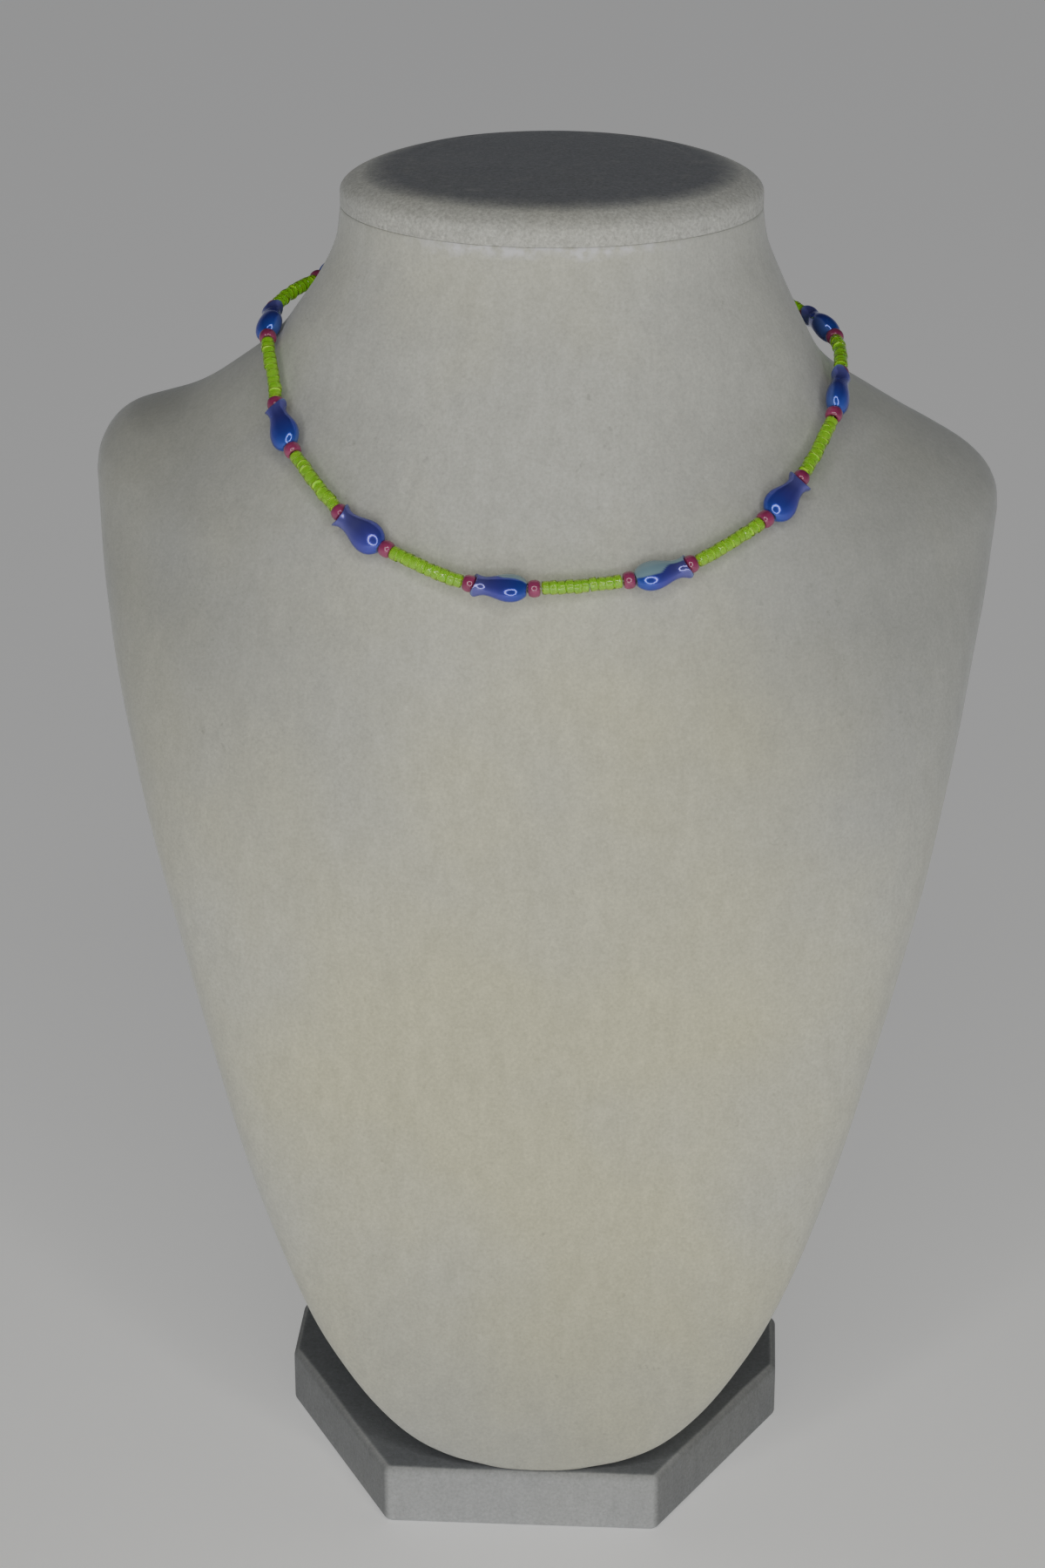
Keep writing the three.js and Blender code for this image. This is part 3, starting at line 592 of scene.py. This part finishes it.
AXIS = np.array([BUST_SHIFT, NECK_AXIS_Y, 0.0]) * MM
SIDES = ("left", "right")
TULIPS = 5
spacers, tulips = {}, {}
for side in SIDES:
    for place in range(1, TULIPS + 1):
        front_name, rear_name = (f"pink_bead_{side}_{2 * place - one}" for one in (1, 0))
        travel = solid_points(rear_name).mean(0) - solid_points(front_name).mean(0)
        for name in (front_name, rear_name):
            spacers[name] = bead_frame(name, False, travel)
        name = f"tulip_bead_{side}_{place}"
        tulips[name] = bead_frame(name, True, travel)
print("spacers:", len(spacers), "tulips:", len(tulips))

# %% [markdown]
# ## Raspberry spacers
# The spacers are opaque raspberry glass, drawn as a tube, cut and tumbled hot until the edges run
# round. They are glossy, so each shows a small crisp highlight. The section is a rounded block
# carried round the bore, and no two are quite the same size.

# %% Spacer material and mesh
raspberry, tree = new_material("tumbled opaque raspberry glass")
place = node(tree, "ShaderNodeTexCoord").outputs["Object"]
swirl = node(tree, "ShaderNodeTexNoise", {"Vector": place, "Scale": 420.0, "Detail": 3.0})
glaze = node(tree, "ShaderNodeValToRGB", {
    "stops": [(0.3, "#8a2f58"), (0.75, "#a84672")], "Fac": swirl})
shader = node(tree, "ShaderNodeBsdfPrincipled", {
    "Base Color": glaze, "Roughness": 0.06, "IOR": 1.52, "Coat Weight": 0.6,
    "Coat Roughness": 0.03})
node(tree, "ShaderNodeOutputMaterial", {"Surface": shader})


def drilled_bead(radius, half_length, bore, squareness, rows, columns):
    """A bead with a bore along Z. Its section is a rounded block: half its size times the signed
    power 2 / squareness of the cosine and sine. Rows go round the section, columns round Z."""
    turn = np.linspace(0.0, 2 * np.pi, rows, endpoint=False)[:, None]
    angle = np.linspace(0.0, 2 * np.pi, columns, endpoint=False)[None, :]
    power = 2.0 / squareness
    out = np.sign(np.cos(turn)) * np.abs(np.cos(turn)) ** power
    up = np.sign(np.sin(turn)) * np.abs(np.sin(turn)) ** power
    away = (radius + bore) / 2 + (radius - bore) / 2 * out
    return np.stack(np.broadcast_arrays(
        away * np.cos(angle), away * np.sin(angle), half_length * up + 0 * angle), -1)


# The bore is the same in spacers and tulips, and wider than the thread.
SPACER_RADIUS, SPACER_HALF, BORE = 2.0, 1.3, 0.62
rng = np.random.default_rng(11)
shape = drilled_bead(SPACER_RADIUS, SPACER_HALF, BORE, 2.05, 28, 36) * MM
grids = []
for name, (middle, axes) in spacers.items():
    size = rng.uniform(0.96, 1.03, 3)
    grids.append(middle + (shape * size) @ axes)
spacer_beads = skin("raspberry_spacers", np.array(grids), raspberry, wrap=True)
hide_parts(*spacers)

# %% [markdown]
# ## Tulip beads
# A tulip bead is pressed in a two-part mould: a bulb, a waist and two petals that flare to points on
# the broad sides, with a V between them. One face was then fumed with metal salts, which leaves a
# film that turns clear blue glass royal blue and violet with a mirror-like gloss, while the other
# face stays pale. A number stored at every point says how much film lies there.

# %% Tulip material
film_glass, tree = new_material("pressed blue glass with a fumed film")
film = node(tree, "ShaderNodeAttribute", {"attribute_name": "film"}).outputs["Fac"]
reach = node(tree, "ShaderNodeAttribute", {"attribute_name": "reach"}).outputs["Fac"]
place = node(tree, "ShaderNodeTexCoord").outputs["Object"]
drift = node(tree, "ShaderNodeTexNoise", {"Vector": place, "Scale": 300.0, "Detail": 2.0})
shifted = node(tree, "ShaderNodeMath", {"operation": "MULTIPLY_ADD", 0: drift, 1: 0.25, 2: reach})
hues = node(tree, "ShaderNodeValToRGB", {
    "stops": [(0.14, "#3f5ccc"), (1.0, "#6a68ba"), (0.32, "#4150c4"), (0.64, "#5452c0"),
              (0.85, "#5c5ab8")],
    "Fac": shifted})
coated = node(tree, "ShaderNodeBsdfPrincipled", {
    "Base Color": hues, "Metallic": 0.5, "Roughness": 0.17, "IOR": 1.5,
    "Specular Tint": linear("#5a78d8"), "Coat Weight": 0.7, "Coat Roughness": 0.03,
    "Coat IOR": 1.6})
bare = node(tree, "ShaderNodeBsdfPrincipled", {
    "Base Color": linear("#93b4c4"), "Roughness": 0.08, "IOR": 1.52,
    "Transmission Weight": 0.2, "Coat Weight": 0.5, "Coat Roughness": 0.03})
mixed = node(tree, "ShaderNodeMixShader", {0: film, 1: bare, 2: coated})
node(tree, "ShaderNodeOutputMaterial", {"Surface": mixed})

# %% Tulip mesh
TULIP_LENGTH, TULIP_WIDTH, TULIP_DEPTH = 12.0, 7.4, 5.2
DIP, PETAL, MOUTH_DEPTH = 1.15, 2.6, 4.9
# Rings of the mouth, from the rim inwards: how far in from the rim and how far below it.
MOUTH = ((0.12, -0.18), (0.42, 0.0), (0.62, 0.5), (0.75, 1.6), (0.9, 2.6))
# Share of the length, half width and half depth as shares of theirs.
TULIP = np.array([
    [0.0, 0.42, 0.5], [0.03, 0.57, 0.64], [0.09, 0.77, 0.8], [0.18, 0.93, 0.94],
    [0.3, 1.0, 1.0], [0.42, 0.96, 0.97], [0.55, 0.82, 0.88], [0.68, 0.67, 0.79],
    [0.8, 0.6, 0.74], [0.9, 0.64, 0.76], [1.0, 0.8, 0.82],
])


def tulip_shape(rows, columns):
    """A tulip along Z with petals along X, in millimetres. Outside, the half width and half depth
    follow the table. Towards the mouth the rim dips by DIP times 1 - |cos a| to the power PETAL, which
    leaves the two petals, and a bore and the inside of the mouth close the surface."""
    at = np.concatenate([0.5 - 0.5 * np.cos(np.linspace(0, np.pi, rows)), [1.0]])
    section = through_rows(TULIP, np.clip(at, 0, 1))
    angle = np.linspace(0.0, 2 * np.pi, columns, endpoint=False)[None, :]
    half_wide = section[:, 1:2] * TULIP_WIDTH / 2
    half_deep = section[:, 2:3] * TULIP_DEPTH / 2
    dip = DIP * (1 - np.abs(np.cos(angle)) ** PETAL)
    rise = at[:, None] * TULIP_LENGTH - dip * smooth_step(0.5, 1.0, at)[:, None]
    outside = np.stack([half_wide * np.cos(angle), half_deep * np.sin(angle), rise], -1)
    lip = outside[-1]
    inside = []
    for inward, drop in MOUTH:
        ring = lip.copy()
        ring[:, 0] -= np.sign(ring[:, 0]) * np.minimum(inward * 1.6, np.abs(ring[:, 0]) * 0.75)
        ring[:, 1] -= np.sign(ring[:, 1]) * np.minimum(inward, np.abs(ring[:, 1]) * 0.75)
        ring[:, 2] -= drop
        inside.append(ring)
    bore = BORE * np.stack([np.cos(angle[0]), np.sin(angle[0])], -1)
    for height in (TULIP_LENGTH - MOUTH_DEPTH, TULIP_LENGTH / 2, 0.0):
        inside.append(np.column_stack([bore, np.full(columns, height)]))
    shape = np.concatenate([outside, np.stack(inside)])
    shape[..., 2] -= TULIP_LENGTH / 2
    return shape


OUTSIDE_ROWS, ROUND = 44, 56
LIP_ROWS = 4
rng = np.random.default_rng(23)
shape = tulip_shape(OUTSIDE_ROWS, ROUND)
# For every tulip, from the front to the nape: the turn of the film's middle from the bead's broad
# face, in degrees, how much film its far side has, and how far its hues run on to violet.
FILM = {"left": ((88, 0.0, 0.0), (0, 0.85, 0.3), (0, 0.8, -0.05), (0, 0.85, 0.0), (0, 0.85, 0.0)),
        "right": ((111, 0.0, 0.0), (0, 0.85, 0.05), (0, 0.85, 0.0), (0, 0.85, 0.0), (0, 0.85, 0.1))}
grids, films, reaches = [], [], []
up = np.array([0.0, 0.0, 1.0])
for name, (middle, axes) in tulips.items():
    _, _, side, number = name.split("_")
    outward = middle - AXIS
    outward[2] = 0.0
    facing = axes[1] * np.sign(axes[1] @ outward)
    grid = middle + (shape * MM * rng.uniform(0.98, 1.02, 3)) @ axes
    across = np.cross(axes[2], facing)
    across *= -1.0 if across[2] > 0 else 1.0
    film_turn, far_film, shift = FILM[side][int(number) - 1]
    turned = math.radians(film_turn)
    fumed = math.cos(turned) * facing + math.sin(turned) * across
    # The film covers the faces that look its way, wraps further round the petals than round the
    # bulb, wears thin at the tips and stops inside the mouth.
    reach = shape[..., 2] / TULIP_LENGTH + 0.5
    amount = outwards(grid) @ fumed + 0.4 * smooth_step(0.4, 0.68, reach)
    covered = far_film + (1 - far_film) * smooth_step(-0.05, 0.05, amount)
    covered *= 1 - 0.3 * smooth_step(0.94, 1.0, reach)
    covered[OUTSIDE_ROWS + LIP_ROWS:] = 0.0
    films.append(covered.ravel())
    reaches.append((reach + shift).ravel())
    grids.append(grid)
tulip_beads = skin("tulip_beads", np.array(grids), film_glass, wrap=True)
for attribute, values in (("film", films), ("reach", reaches)):
    layer = tulip_beads.data.attributes.new(attribute, "FLOAT", "POINT")
    layer.data.foreach_set("value", np.concatenate(values).astype(np.float32))
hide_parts(*tulips)

# %% [markdown]
# ## Lime seed beads
# The small beads are glass with a faint lime tinge and a brighter lime enamel fired into the bore,
# which also glows a little as painted light.
# The glass acts as a lens, so the core fills the bead with colour and the edge catches small
# glints. Each bead is a glass ring with a coloured sleeve in its bore. They sit a little crooked on
# the thread, each turned and sized by a seeded draw.

# %% Seed bead materials
crystal, tree = new_material("drawn glass, faintly lime")
shader = node(tree, "ShaderNodeBsdfPrincipled", {
    "Base Color": linear("#d4f36a"), "Roughness": 0.08, "IOR": 1.51, "Transmission Weight": 0.8})
node(tree, "ShaderNodeOutputMaterial", {"Surface": shader})

lime, tree = new_material("fired lime enamel lining")
place = node(tree, "ShaderNodeTexCoord").outputs["Object"]
patches = node(tree, "ShaderNodeTexNoise", {"Vector": place, "Scale": 700.0, "Detail": 2.0})
green = node(tree, "ShaderNodeValToRGB", {
    "stops": [(0.35, "#9fe61c"), (0.7, "#c6f444")], "Fac": patches})
# The lining's faint emission is a painted glow: it stands in for the light that reaches it through the
# glass.
shader = node(tree, "ShaderNodeBsdfPrincipled", {
    "Base Color": green, "Emission Color": green, "Emission Strength": 0.2, "Roughness": 0.4})
node(tree, "ShaderNodeOutputMaterial", {"Surface": shader})


# %% Seed bead meshes
def run_line(name):
    """The middle of a run's tube, as one point for each of its five rings: the points are sorted
    into rings by how far along the run they lie."""
    points = solid_points(name)
    centre = points - points.mean(0)
    _, axes = np.linalg.eigh(np.cov(centre.T))
    along = centre @ axes[:, 2]
    ring = np.round((along - along.min()) / (along.max() - along.min()) * 4).astype(int)
    return np.stack([points[ring == number].mean(0) for number in range(5)])


def along_line(line, share):
    """Points and directions at shares of a line's length, by cubics through its points."""
    table = np.column_stack([np.linspace(0.0, 1.0, len(line)), line])
    points = through_rows(table, share)[:, 1:]
    step = through_rows(table, np.clip(share + 0.01, 0, 1))[:, 1:]
    step = step - through_rows(table, np.clip(share - 0.01, 0, 1))[:, 1:]
    return points, step / np.linalg.norm(step, axis=1, keepdims=True)


# Radius, half length and bore of the glass ring and of the lining. CROOKED is the slope by which a
# bead tilts and ASIDE how far it sits off the line.
SEED_PITCH, CROOKED, ASIDE = 1.74, 0.09, 0.07
GLASS, LINING = (1.55, 0.86, 1.29), (1.28, 0.84, 0.4)
rng = np.random.default_rng(5)
shell = drilled_bead(*GLASS, 2.8, 20, 24) * MM
sleeve = drilled_bead(*LINING, 3.4, 12, 20) * MM
shells, sleeves, run_names = [], [], []
for name in sorted(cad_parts):
    if not name.startswith("lime_run"):
        continue
    run_names.append(name)
    line = run_line(name)
    length = np.linalg.norm(np.diff(line, axis=0), axis=1).sum() / MM
    count = int(round(length / SEED_PITCH))
    share = (np.arange(count) + 0.5) / count
    points, direction = along_line(line, share)
    direction = direction + rng.normal(0.0, CROOKED, direction.shape)
    direction /= np.linalg.norm(direction, axis=1, keepdims=True)
    side_way = np.cross(direction, up)
    side_way /= np.linalg.norm(side_way, axis=1, keepdims=True)
    axes = np.stack([side_way, np.cross(direction, side_way), direction], axis=1)
    points = points + rng.normal(0.0, ASIDE * MM, points.shape)
    size = np.column_stack([np.repeat(rng.uniform(0.93, 1.03, count)[:, None], 2, axis=1),
                            rng.uniform(0.92, 1.0, count) * length / count / SEED_PITCH])
    for shape, kept in ((shell, shells), (sleeve, sleeves)):
        sized = shape[None] * size[:, None, None, :]
        kept.append(points[:, None, None] + np.einsum("nrcx,nxy->nrcy", sized, axes))
seed_shells = skin("lime_seed_glass", np.concatenate(shells), crystal, wrap=True)
seed_sleeves = skin("lime_seed_lining", np.concatenate(sleeves), lime, wrap=True)
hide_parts(*run_names)
print("seed beads:", sum(len(stack) for stack in shells))

# %% [markdown]
# ## Thread and clasp
# The strand is a clear nylon thread, seen only where two beads part. The clasp lies at the nape, a
# plain satin barrel with a collar at each end, turned on a lathe, so its profile is carried round
# its own axis.

# %% Thread and clasp
nylon, tree = new_material("clear nylon thread")
place = node(tree, "ShaderNodeTexCoord").outputs["Object"]
streak = node(tree, "ShaderNodeTexNoise", {"Vector": place, "Scale": 900.0, "Detail": 2.0})
tint = node(tree, "ShaderNodeValToRGB", {"stops": [(0.3, "#c9d2c4"), (0.7, "#e4e9df")], "Fac": streak})
shader = node(tree, "ShaderNodeBsdfPrincipled", {
    "Base Color": tint, "Roughness": 0.3, "IOR": 1.53, "Transmission Weight": 0.4})
node(tree, "ShaderNodeOutputMaterial", {"Surface": shader})
thread_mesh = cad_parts["thread"].data
thread_mesh.materials.clear()
thread_mesh.materials.append(nylon)

satin, tree = new_material("satin nickel, turned")
place = node(tree, "ShaderNodeTexCoord").outputs["Object"]
turned = node(tree, "ShaderNodeTexNoise", {"Vector": place, "Scale": 1500.0, "Detail": 3.0})
dull = node(tree, "ShaderNodeMapRange", {"Value": turned, "To Min": 0.22, "To Max": 0.38})
shader = node(tree, "ShaderNodeBsdfPrincipled", {
    "Base Color": linear("#c3c2bd"), "Metallic": 1.0, "Roughness": dull})
node(tree, "ShaderNodeOutputMaterial", {"Surface": shader})

travel = solid_points("pink_bead_left_10").mean(0) - solid_points("pink_bead_right_10").mean(0)
middle, axes = bead_frame("clasp", True, travel)
# Place along the axis and radius, in millimetres, once round the wall: along the outside, into the
# socket at the far end, back through the bore and out of the near socket.
barrel = np.array([
    [-6.0, 0.78], [-6.0, 1.5], [-5.8, 1.7], [-5.3, 1.7], [-5.1, 1.5], [-4.9, 1.55], [-4.4, 1.9],
    [-3.5, 2.08], [0.0, 2.1], [3.5, 2.08], [4.4, 1.9], [4.9, 1.55], [5.1, 1.5], [5.3, 1.7],
    [5.8, 1.7], [6.0, 1.5], [6.0, 0.78], [4.5, 0.74], [4.4, 0.3], [-4.4, 0.3], [-4.5, 0.74],
])
angle = np.linspace(0.0, 2 * np.pi, 48, endpoint=False)[None, :]
turned_form = np.stack(np.broadcast_arrays(
    barrel[:, 1:] * np.cos(angle), barrel[:, 1:] * np.sin(angle), barrel[:, :1] + 0 * angle), -1)
clasp = skin("barrel_clasp", middle + (turned_form * MM) @ axes, satin, wrap=True)
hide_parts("clasp")

# %% [markdown]
# ## Floor and light
# The piece stands on a plain pale floor. A large ring light round the lens gives the soft frontal
# light and the small ring in every bead, and a weak sky keeps the shadows open.

# %% Floor and light
paper, tree = new_material("pale paper sweep")
place = node(tree, "ShaderNodeTexCoord").outputs["Object"]
fibre = node(tree, "ShaderNodeTexNoise", {"Vector": place, "Scale": 300.0, "Detail": 3.0})
tint = node(tree, "ShaderNodeValToRGB", {"stops": [(0.3, "#ebebea"), (0.7, "#efefee")], "Fac": fibre})
shader = node(tree, "ShaderNodeBsdfPrincipled", {
    "Base Color": tint, "Roughness": 0.9, "Emission Color": linear("#ffffff"),
    "Emission Strength": 0.27})
node(tree, "ShaderNodeOutputMaterial", {"Surface": shader})


def staged(name, grid, material):
    """A flat piece of the studio: a grid of points with faces between them."""
    rows, columns = grid.shape[:2]
    index = np.arange(rows * columns).reshape(rows, columns)
    faces = np.stack([index[:-1, :-1], index[:-1, 1:], index[1:, 1:], index[1:, :-1]], -1)
    mesh = bpy.data.meshes.new(name)
    mesh.from_pydata(grid.reshape(-1, 3).tolist(), [], faces.reshape(-1, 4).tolist())
    mesh.materials.append(material)
    piece = bpy.data.objects.new(name, mesh)
    bpy.context.scene.collection.objects.link(piece)
    return piece


FLOOR_HALF, LAMP_INNER, LAMP_OUTER = 3.0, 0.34, 0.44
span = np.linspace(-FLOOR_HALF, FLOOR_HALF, 9)
x, y = np.meshgrid(span, span)
staged("floor", np.stack([x, y, 0 * x], -1), paper)

tube, tree = new_material("ring lamp diffuser")
shader = node(tree, "ShaderNodeEmission", {"Color": linear("#fffdf6"), "Strength": 7.0})
node(tree, "ShaderNodeOutputMaterial", {"Surface": shader})
turn, away = np.meshgrid(
    np.linspace(0.0, 2 * np.pi, 65), np.array([LAMP_INNER, LAMP_OUTER]), indexing="ij")
facing = np.array(camera.rotation_euler.to_matrix())
ring = np.stack([away * np.cos(turn), away * np.sin(turn), 0 * turn], -1)
lamp = staged("ring_lamp", np.array(camera.location) + ring @ facing.T, tube)
lamp.visible_camera = False

world = bpy.data.worlds.new("studio")
world.use_nodes = True
tree = world.node_tree
tree.nodes.clear()
direction = node(tree, "ShaderNodeTexCoord").outputs["Generated"]
rise = node(tree, "ShaderNodeSeparateXYZ", {"Vector": direction}).outputs["Z"]
strength = node(tree, "ShaderNodeMapRange", {
    "Value": rise, "From Min": 0.05, "From Max": 0.5, "To Min": 0.28, "To Max": 0.03})
sky = node(tree, "ShaderNodeBackground", {"Color": linear("#dfe3ea"), "Strength": strength})
node(tree, "ShaderNodeOutputWorld", {"Surface": sky})
bpy.context.scene.world = world
